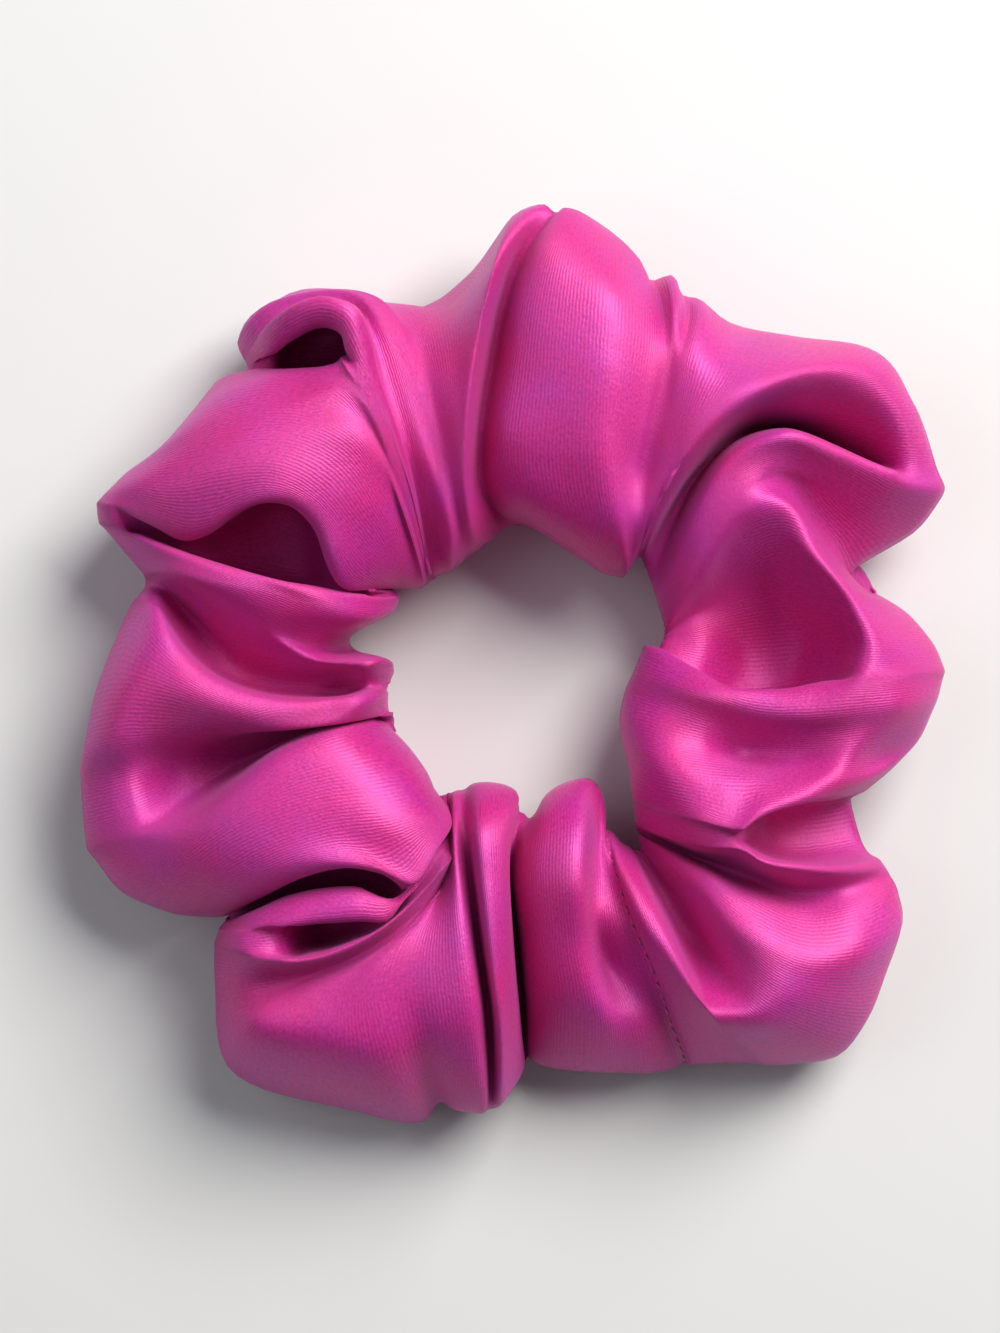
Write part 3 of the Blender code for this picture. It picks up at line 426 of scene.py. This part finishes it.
def section_loop(top, underside):
    """One section of the tube: ROUND points, over the top and then underneath."""
    points = np.array([*top, *underside], float)
    spacing = np.linalg.norm(np.roll(points, -1, 0) - points, axis=1) ** 0.7
    starts = np.concatenate([[0], np.cumsum(spacing)])
    fine = np.linspace(0, starts[-1], SECTION_SAMPLES)
    line = closed_curve(points, spacing, fine)
    line[-1] = points[0]
    moves = np.diff(line, axis=0)
    inward = np.diff(np.hypot(line[:, 0], line[:, 1]))
    sideways = np.sqrt(np.maximum(moves[:, 0]**2 + moves[:, 1]**2 - inward**2, 0))
    steps = np.sqrt(inward**2 + (SIDEWAYS_SHARE * sideways)**2 + (DROP_SHARE * moves[:, 2])**2)
    travel = np.concatenate([[0], np.cumsum(steps)])
    inner = np.interp(starts[len(top) - 1], fine, travel)
    over = np.arange(TOP_COLUMNS) / TOP_COLUMNS
    under = np.arange(ROUND - TOP_COLUMNS) / (ROUND - TOP_COLUMNS)
    wanted = np.concatenate([inner * over, inner + (travel[-1] - inner) * under])
    return closed_curve(points, spacing, np.interp(wanted, travel, fine))


def fold_loops():
    """The section at each fold line, in mm."""
    tops = [np.array(points, float) for _, _, *points in FOLDS]
    plan = []
    for top in tops:
        travel = np.concatenate([[0], np.cumsum(np.linalg.norm(np.diff(top, axis=0), axis=1))])
        at = travel[-1] * np.array(UNDER_SHARES)
        plan.append([[np.interp(x, travel, top[:, axis]) for axis in (0, 1)] for x in at])
    plan = np.array(plan)
    lift = np.array([float(kind == VALLEY) for _, kind, *_ in FOLDS])
    for step in range(UNDER_SMOOTHING):
        plan = 0.25 * np.roll(plan, 1, 0) + 0.5 * plan + 0.25 * np.roll(plan, -1, 0)
        if step < LIFT_SMOOTHING:
            lift = 0.25 * np.roll(lift, 1) + 0.5 * lift + 0.25 * np.roll(lift, -1)
    loops = []
    for top, under, raised in zip(tops, plan, lift):
        height = UNDERSIDE_REST + UNDERSIDE_LIFT * raised
        loops.append(section_loop(top, [[x, y, height] for x, y in under]))
    return np.array(loops)


def gathered_cloth():
    """The cloth's outer surface, ALONG by ROUND points in metres, and each fold's place."""
    loops = fold_loops()
    apart = np.linalg.norm(np.roll(loops, -1, 0) - loops, axis=2)
    spacing = 0.6 * apart[:, :TOP_COLUMNS].mean(1) + 0.4 * apart.max(1) + 0.2
    starts = np.concatenate([[0], np.cumsum(spacing)])
    cloth = closed_curve(loops, spacing, starts[-1] * np.arange(ALONG) / ALONG)
    places = {fold[0]: start / starts[-1] for fold, start in zip(FOLDS, starts)}
    return cloth * MM, places


def fit_to_frame(cloth):
    """Scales the cloth so that its box is the frame's box."""
    low, high = cloth.min((0, 1)), cloth.max((0, 1))
    frame_low, frame_high = np.array(CAD_LOW), np.array(CAD_HIGH)
    return (cloth - low) / (high - low) * (frame_high - frame_low) + frame_low


def outward_of(cloth):
    """The unit direction out of the tube at each point of the cloth."""
    ahead = np.roll(cloth, -1, 0) - np.roll(cloth, 1, 0)
    across = np.roll(cloth, -1, 1) - np.roll(cloth, 1, 1)
    outward = np.cross(across, ahead)
    return outward / (np.linalg.norm(outward, axis=2, keepdims=True) + 1e-12)


def sink_seams(cloth, seam_row):
    """A crease along each seam, and the fuller side where the seam's allowance is folded."""
    row = (np.arange(ALONG)[:, None] - seam_row + ALONG / 2) % ALONG - ALONG / 2
    column = np.arange(ROUND)[None, :] - LONG_SEAM_COLUMN
    crease = np.maximum(np.exp(-((row / 1.1) ** 2)), 0.8 * np.exp(-((column / 0.8) ** 2)))
    puff = np.exp(-(((row - 3.5) / 2.2) ** 2))
    depth = SEAM_SINK * crease - SEAM_PUFF * puff
    return cloth - outward_of(cloth) * depth[:, :, None]


def gather_underside(cloth):
    """Presses fine gathers into the cloth round the elastic and underneath, where the cut
    strip is much longer than the ring's own edge."""
    along = 2 * math.pi * np.arange(ALONG)[:, None] / ALONG
    column = np.arange(ROUND)[None, :] - TOP_COLUMNS
    around = math.pi * column / (ROUND - TOP_COLUMNS)
    under = np.clip(np.sin(np.clip(around, 0, None)), 0, None) ** 1.6
    edge = np.exp(-((column / 5.0) ** 2))
    drift = 1.7 * np.sin(5 * along + 2 * around) + 1.1 * np.sin(11 * along - 3 * around)
    wave = 0.5 + 0.5 * np.sin(GATHERS * along + drift)
    depth = (GATHER_UNDER * under + GATHER_EDGE * edge) * wave
    return cloth - outward_of(cloth) * depth[:, :, None]


def add_cloth_object(name, cloth):
    """A closed tube of quads with a map of the flat cloth, in metres along and round."""
    along, rounds, _ = cloth.shape
    index = np.arange(along * rounds).reshape(along, rounds)
    ahead = np.roll(index, -1, 0)
    quads = np.stack([index, np.roll(index, -1, 1), np.roll(ahead, -1, 1), ahead], 2)
    mesh = bpy.data.meshes.new(name)
    mesh.from_pydata(cloth.reshape(-1, 3), [], quads.reshape(-1, 4).tolist())
    u, v = np.meshgrid(np.arange(along), np.arange(rounds), indexing="ij")
    us = np.stack([u, u, u + 1, u + 1], 2).reshape(-1) / along * FLAT_LENGTH
    vs = np.stack([v, v + 1, v + 1, v], 2).reshape(-1) / rounds * FLAT_WIDTH
    layer = mesh.uv_layers.new(name="flat_cloth")
    layer.data.foreach_set("uv", np.stack([us, vs], 1).ravel().astype(np.float32))
    mesh.shade_smooth()
    obj = bpy.data.objects.new(name, mesh)
    bpy.context.collection.objects.link(obj)
    return obj


def node(tree, kind, **values):
    """A shader node with its properties and its inputs set by name."""
    made = tree.nodes.new(kind)
    for name, value in values.items():
        if name in made.inputs:
            made.inputs[name].default_value = value
        else:
            setattr(made, name, value)
    return made


def new_material(name):
    material = bpy.data.materials.new(name)
    material.use_nodes = True
    return material, material.node_tree, material.node_tree.nodes["Principled BSDF"]


def colour_ramp(tree, factor, stops):
    ramp = tree.nodes.new("ShaderNodeValToRGB")
    while len(ramp.color_ramp.elements) < len(stops):
        ramp.color_ramp.elements.new(1.0)
    for element, (place, colour) in zip(ramp.color_ramp.elements, stops):
        element.position = place
        element.color = (*colour, 1.0)
    tree.links.new(factor, ramp.inputs["Fac"])
    return ramp.outputs["Color"]


def satin_material():
    """Magenta satin: fine ribs across the strip, a soft broad lustre and uneven dye."""
    material, tree, shader = new_material("satin")
    link = tree.links.new
    cloth_map = node(tree, "ShaderNodeUVMap", uv_map="flat_cloth")
    place = node(tree, "ShaderNodeTexCoord").outputs["Object"]
    ribs = node(tree, "ShaderNodeTexWave", wave_type="BANDS", bands_direction="X",
                wave_profile="SIN", Scale=RIB_WAVES, Distortion=1.5, Detail=1.0)
    ribs.inputs["Detail Scale"].default_value = 0.6
    link(cloth_map.outputs["UV"], ribs.inputs["Vector"])
    slubs = node(tree, "ShaderNodeTexNoise", Scale=1.0, Detail=4.0, Roughness=0.65)
    stretch = node(tree, "ShaderNodeMapping")
    stretch.inputs["Scale"].default_value = SLUB_SCALE
    link(cloth_map.outputs["UV"], stretch.inputs["Vector"])
    link(stretch.outputs["Vector"], slubs.inputs["Vector"])
    cloud = node(tree, "ShaderNodeTexNoise", Scale=DYE_CLOUD_SCALE, Detail=3.0, Roughness=0.55)
    link(place, cloud.inputs["Vector"])
    dye = colour_ramp(tree, cloud.outputs["Fac"], (
        (0.30, SATIN_LILAC), (0.50, SATIN_MAGENTA), (0.68, SATIN_RED),
    ))
    grain = node(tree, "ShaderNodeMix", data_type="RGBA", blend_type="MULTIPLY")
    grain.inputs["Factor"].default_value = GRAIN_SHARE
    link(dye, grain.inputs[6])
    link(colour_ramp(tree, slubs.outputs["Fac"], (
        (0.32, (0.45, 0.45, 0.45)), (0.62, (1.0, 1.0, 1.0)),
    )), grain.inputs[7])
    link(grain.outputs[2], shader.inputs["Base Color"])
    rough = node(tree, "ShaderNodeMapRange")
    rough.inputs["To Min"].default_value = SATIN_SMOOTHEST
    rough.inputs["To Max"].default_value = SATIN_ROUGHEST
    link(slubs.outputs["Fac"], rough.inputs["Value"])
    link(rough.outputs["Result"], shader.inputs["Roughness"])
    shader.inputs["Metallic"].default_value = 0.20
    shader.inputs["Anisotropic"].default_value = 0.6
    shader.inputs["Anisotropic Rotation"].default_value = 0.0
    shader.inputs["Specular IOR Level"].default_value = 0.9
    shader.inputs["Specular Tint"].default_value = (1.0, 0.66, 1.0, 1.0)
    shader.inputs["Sheen Weight"].default_value = 0.10
    shader.inputs["Sheen Roughness"].default_value = 0.45
    shader.inputs["Sheen Tint"].default_value = (1.0, 0.4, 1.0, 1.0)
    tangent = node(tree, "ShaderNodeTangent", direction_type="UV_MAP", uv_map="flat_cloth")
    link(tangent.outputs["Tangent"], shader.inputs["Tangent"])
    weave = node(tree, "ShaderNodeBump", Strength=0.5, Distance=0.00006)
    link(ribs.outputs["Fac"], weave.inputs["Height"])
    fibres = node(tree, "ShaderNodeBump", Strength=0.75, Distance=0.00009)
    link(slubs.outputs["Fac"], fibres.inputs["Height"])
    link(weave.outputs["Normal"], fibres.inputs["Normal"])
    crumple = node(tree, "ShaderNodeTexNoise", Scale=CRUMPLE_SCALE, Detail=2.0, Roughness=0.5)
    link(place, crumple.inputs["Vector"])
    soft = node(tree, "ShaderNodeBump", Strength=0.25, Distance=0.0004)
    link(crumple.outputs["Fac"], soft.inputs["Height"])
    link(fibres.outputs["Normal"], soft.inputs["Normal"])
    link(soft.outputs["Normal"], shader.inputs["Normal"])
    return material


def thread_material(name, colour, dark, roughness):
    """Spun thread: its twist as slanting bands that shade and roughen it."""
    material, tree, shader = new_material(name)
    link = tree.links.new
    thread_map = node(tree, "ShaderNodeUVMap", uv_map="length_and_turn")
    twist = node(tree, "ShaderNodeTexWave", wave_type="BANDS", bands_direction="DIAGONAL",
                 Scale=THREAD_TWISTS, Distortion=0.6, Detail=1.0)
    link(thread_map.outputs["UV"], twist.inputs["Vector"])
    link(colour_ramp(tree, twist.outputs["Fac"], ((0.1, dark), (0.7, colour))),
         shader.inputs["Base Color"])
    shader.inputs["Roughness"].default_value = roughness
    shader.inputs["Sheen Weight"].default_value = 0.3
    relief = node(tree, "ShaderNodeBump", Strength=0.6, Distance=0.00005)
    link(twist.outputs["Fac"], relief.inputs["Height"])
    link(relief.outputs["Normal"], shader.inputs["Normal"])
    return material


def elastic_material():
    """Braided elastic: matte, with fine cross threads, and painted shade between its ribs, where
    the colour is darker and slightly yellow.
    """
    material, tree, shader = new_material("elastic")
    link = tree.links.new
    band_map = node(tree, "ShaderNodeUVMap", uv_map="length_and_turn")
    braid = node(tree, "ShaderNodeTexWave", wave_type="BANDS", bands_direction="X",
                 Scale=BRAID_WAVES, Distortion=2.0, Detail=2.0)
    link(band_map.outputs["UV"], braid.inputs["Vector"])
    # painted shade: the grooves between the braid's ribs get the darker, slightly yellow colour
    link(colour_ramp(tree, braid.outputs["Fac"], (
        (0.0, (0.66, 0.63, 0.56)), (0.6, (0.86, 0.85, 0.83)),
    )), shader.inputs["Base Color"])
    shader.inputs["Roughness"].default_value = 0.85
    shader.inputs["Sheen Weight"].default_value = 0.4
    relief = node(tree, "ShaderNodeBump", Strength=0.8, Distance=0.0001)
    link(braid.outputs["Fac"], relief.inputs["Height"])
    link(relief.outputs["Normal"], shader.inputs["Normal"])
    return material


def sweep(name, centres, sides, section, closed, material):
    """A solid whose section, pairs of distances along sides and up, follows the centres."""
    steps, turns = len(centres), len(section)
    ahead = np.gradient(centres, axis=0)
    if closed:
        ahead = np.roll(centres, -1, 0) - np.roll(centres, 1, 0)
    ahead /= np.linalg.norm(ahead, axis=1, keepdims=True)
    sides = sides - ahead * (sides * ahead).sum(1, keepdims=True)
    sides /= np.linalg.norm(sides, axis=1, keepdims=True)
    ups = np.cross(ahead, sides)
    section = np.array(section, float)
    points = (centres[:, None] + sides[:, None] * section[None, :, :1]
              + ups[:, None] * section[None, :, 1:])
    travel = np.concatenate([[0], np.cumsum(np.linalg.norm(np.diff(centres, axis=0), axis=1))])
    faces, uvs = [], []
    for step in range(steps if closed else steps - 1):
        after = (step + 1) % steps
        far = travel[after] if after else travel[-1] + travel[1]
        for turn in range(turns):
            beside = (turn + 1) % turns
            faces.append((step * turns + turn, step * turns + beside,
                          after * turns + beside, after * turns + turn))
            low, high = turn / turns * MM, (turn + 1) / turns * MM
            uvs += [(travel[step], low), (travel[step], high), (far, high), (far, low)]
    if not closed:
        for end in (0, (steps - 1) * turns):
            ring = list(range(end, end + turns))
            faces.append(tuple(ring if end else ring[::-1]))
            uvs += [(travel[-1] if end else 0.0, 0.0)] * turns
    mesh = bpy.data.meshes.new(name)
    mesh.from_pydata(points.reshape(-1, 3), [], faces)
    layer = mesh.uv_layers.new(name="length_and_turn")
    layer.data.foreach_set("uv", np.array(uvs, np.float32).ravel())
    mesh.shade_smooth()
    mesh.materials.append(material)
    piece = bpy.data.objects.new(name, mesh)
    bpy.context.collection.objects.link(piece)
    return piece


def thread_tube(name, centres, sides, closed, material):
    turns = 2 * math.pi * np.arange(THREAD_SIDES) / THREAD_SIDES
    section = np.stack([np.cos(turns), np.sin(turns)], 1) * THREAD_RADIUS
    return sweep(name, centres, sides, section, closed, material)


def elastic_reach(cloth, angles):
    """How far the elastic lies from the hole's middle: outside the widest part nearby."""
    edge = cloth[:, TOP_COLUMNS]
    at = np.arctan2(edge[:, 1], edge[:, 0])
    out = np.hypot(edge[:, 0], edge[:, 1])
    turns = 2 * math.pi * np.arange(ELASTIC_STEPS) / ELASTIC_STEPS
    apart = np.abs((at[None, :] - turns[:, None] + math.pi) % (2 * math.pi) - math.pi)
    reach = np.where(apart < ELASTIC_WINDOW, out[None, :], 0.0).max(1)
    for _ in range(ELASTIC_SMOOTHING):
        reach = 0.25 * np.roll(reach, 1) + 0.5 * reach + 0.25 * np.roll(reach, -1)
    return np.interp(angles, turns, reach + ELASTIC_INSET, period=2 * math.pi)


def round_hole(angles, reach, height):
    """Points and outward directions at distances from the hole's middle."""
    out = np.stack([np.cos(angles), np.sin(angles), 0 * angles], 1)
    return out * reach[:, None] + np.array([0, 0, 1.0]) * height, out


def make_elastic(cloth):
    """One flat band, its ends lapped and stitched together."""
    near = elastic_reach(cloth, np.array([LAP_ANGLE]))[0]
    half = LAP_LENGTH / 2 / near
    angles = np.linspace(LAP_ANGLE - half, LAP_ANGLE + half + 2 * math.pi, ELASTIC_STEPS)
    lapped = np.clip((angles - (LAP_ANGLE - half + 2 * math.pi) + 0.25) / 0.25, 0, 1)
    step_out = ELASTIC_THICKNESS * 1.12 * (3 * lapped**2 - 2 * lapped**3)
    centres, out = round_hole(angles, elastic_reach(cloth, angles) + step_out, ELASTIC_MIDDLE)
    across = np.linspace(-1, 1, 4 * ELASTIC_RIBS + 1)
    bulge = ELASTIC_THICKNESS / 2 * (1 - across**6) ** 0.5
    ribs = ELASTIC_RIB_DEPTH * (0.5 + 0.5 * np.cos(math.pi * ELASTIC_RIBS * across))
    face = np.maximum(bulge - ribs, 0.1 * MM)
    edge = across * ELASTIC_WIDTH / 2
    section = [*zip(face, edge), *zip(-face[::-1], edge[::-1])]
    return sweep("elastic_band", centres, out, section, False, elastic_material())


def make_tack(cloth):
    """Zig-zag stitches over the elastic's lap."""
    near = elastic_reach(cloth, np.array([LAP_ANGLE]))[0]
    rows = np.linspace(-1, 1, 16 * TACK_ROWS + 1)
    angles = LAP_ANGLE + TACK_LENGTH / 2 / near * rows
    swing = 2 / math.pi * np.arcsin(np.sin(math.pi * TACK_ROWS * rows))
    stand = ELASTIC_THICKNESS * 1.62 + THREAD_RADIUS - 0.4 * MM * np.abs(swing) ** 8
    reach = elastic_reach(cloth, angles) + stand
    centres, out = round_hole(angles, reach, ELASTIC_MIDDLE)
    centres[:, 2] += swing * ELASTIC_WIDTH * TACK_SWING
    white = thread_material("tack_thread", (0.92, 0.91, 0.88), (0.62, 0.60, 0.56), 0.6)
    return thread_tube("elastic_tack_stitches", centres, out, False, white)


def stitched(points, outward, closed):
    """A finer line on the cloth that dips under it between the stitches."""
    if closed:
        points = np.concatenate([points, points[:1]])
        outward = np.concatenate([outward, outward[:1]])
    travel = np.concatenate([[0], np.cumsum(np.linalg.norm(np.diff(points, axis=0), axis=1))])
    stitches = round(travel[-1] / STITCH_LENGTH)
    fine = np.linspace(0, travel[-1], 8 * stitches + 1)
    if closed:
        fine = fine[:-1]
    line = np.stack([np.interp(fine, travel, points[:, axis]) for axis in range(3)], 1)
    out = np.stack([np.interp(fine, travel, outward[:, axis]) for axis in range(3)], 1)
    out /= np.linalg.norm(out, axis=1, keepdims=True)
    wave = np.cos(2 * math.pi * stitches * fine / travel[-1])
    dip = STITCH_DIP * np.clip(-wave, -0.4, 1)
    return line - out * dip[:, None], out


def make_seams(cloth, seam_row):
    """The long seam, the cross seam over the tube, and the closing stitches."""
    colour, dark = (0.52, 0.035, 0.24), (0.22, 0.012, 0.10)
    thread = thread_material("sewing_thread", colour, dark, 0.5)
    outward = outward_of(cloth)
    line, out = stitched(cloth[:, LONG_SEAM_COLUMN], outward[:, LONG_SEAM_COLUMN], True)
    long_seam = thread_tube("long_seam_stitches", line, out, True, thread)
    columns = (LONG_SEAM_COLUMN + np.arange(2, ROUND - 1)) % ROUND
    line, out = stitched(cloth[seam_row, columns], outward[seam_row, columns], False)
    cross_seam = thread_tube("cross_seam_stitches", line, out, False, thread)
    # whip stitches over the long seam, next to the cross seam
    rows = (seam_row + 5 + np.linspace(0, 2 * CLOSING_ROWS, 8 * CLOSING_ROWS + 1)) % ALONG
    swing = np.sin(math.pi * np.linspace(0, CLOSING_ROWS, len(rows)))
    near = np.floor(rows).astype(int) % ALONG
    share = (rows - np.floor(rows))[:, None]
    above, below = LONG_SEAM_COLUMN - 1, LONG_SEAM_COLUMN + 1
    high = cloth[near, above] * (1 - share) + cloth[(near + 1) % ALONG, above] * share
    low = cloth[near, below] * (1 - share) + cloth[(near + 1) % ALONG, below] * share
    middle = (high + low) / 2 + (high - low) / 2 * swing[:, None]
    out = outward[near, LONG_SEAM_COLUMN]
    lift = THREAD_RADIUS * (1 - 1.6 * np.abs(swing) ** 4)
    closing = thread_tube(
        "closing_stitches", middle + out * lift[:, None], out, False, thread)
    return long_seam, cross_seam, closing


def make_sleeve():
    cloth, places = gathered_cloth()
    cloth = gather_underside(fit_to_frame(cloth))
    seam_row = round(places[SEAM_FOLD] * ALONG)
    cloth = sink_seams(cloth, seam_row)
    cloth[:, :, 2] = np.maximum(cloth[:, :, 2], UNDERSIDE_REST * MM)
    sleeve = add_cloth_object("satin_sleeve", cloth)
    thickness = sleeve.modifiers.new("thickness", "SOLIDIFY")
    thickness.thickness = CLOTH_THICKNESS
    thickness.offset = -1.0
    sleeve.data.materials.append(satin_material())
    return sleeve, cloth, seam_row


def add_area_light(name, location, size, power, colour):
    light = bpy.data.lights.new(name, "AREA")
    light.size = size
    light.energy = power
    light.color = colour
    lamp = bpy.data.objects.new(name, light)
    lamp.location = location
    lamp.rotation_euler = (-Vector(location)).to_track_quat("-Z", "Y").to_euler()
    bpy.context.collection.objects.link(lamp)


def make_floor():
    bpy.ops.mesh.primitive_plane_add(size=3.0)
    floor = bpy.context.active_object
    floor.name = "floor"
    material, _, shader = new_material("pale_floor")
    shader.inputs["Base Color"].default_value = FLOOR_COLOUR
    shader.inputs["Roughness"].default_value = 0.8
    floor.data.materials.append(material)


def make_lights():
    add_area_light("key", *KEY_LIGHT)
    add_area_light("fill", *FILL_LIGHT)
    world = bpy.data.worlds.new("studio")
    bpy.context.scene.world = world
    world.use_nodes = True
    background = world.node_tree.nodes["Background"]
    background.inputs["Color"].default_value = SKY_COLOUR
    background.inputs["Strength"].default_value = SKY_STRENGTH


def set_colour_view():
    """Plain display colours, so that the dyes keep their strength."""
    settings = bpy.context.scene.view_settings
    settings.view_transform = "Standard"
    settings.look = "None"
    settings.exposure = 0.0


def make_camera():
    """Looks straight down, as far up as the ring's length needs."""
    camera = bpy.data.cameras.new("camera")
    eye = bpy.data.objects.new("camera", camera)
    bpy.context.collection.objects.link(eye)
    camera.sensor_fit = "VERTICAL"
    middle = (CAD_LOW + CAD_HIGH) / 2
    aside, up = CAMERA_ASIDE
    eye.location = (middle.x + aside, middle.y + up, CAMERA_HEIGHT)
    camera.angle = 2 * math.atan(SEEN_HALF_HEIGHT / CLOTH_DISTANCE)
    camera.clip_start = 0.01
    bpy.context.scene.camera = eye


sleeve, cloth, seam_row = make_sleeve()
band = make_elastic(cloth)
tack = make_tack(cloth)
long_seam, cross_seam, closing = make_seams(cloth, seam_row)
make_floor()
make_lights()
make_camera()
set_colour_view()
for piece in (sleeve, band, tack, long_seam, cross_seam, closing):
    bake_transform(piece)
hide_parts("sleeve_left", "sleeve_right")
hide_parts("elastic_left", "elastic_right")
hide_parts("elastic_tack_thread")
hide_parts("long_seam_thread_left", "long_seam_thread_right")
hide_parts("cross_seam_thread")
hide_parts("closing_stitch_thread")
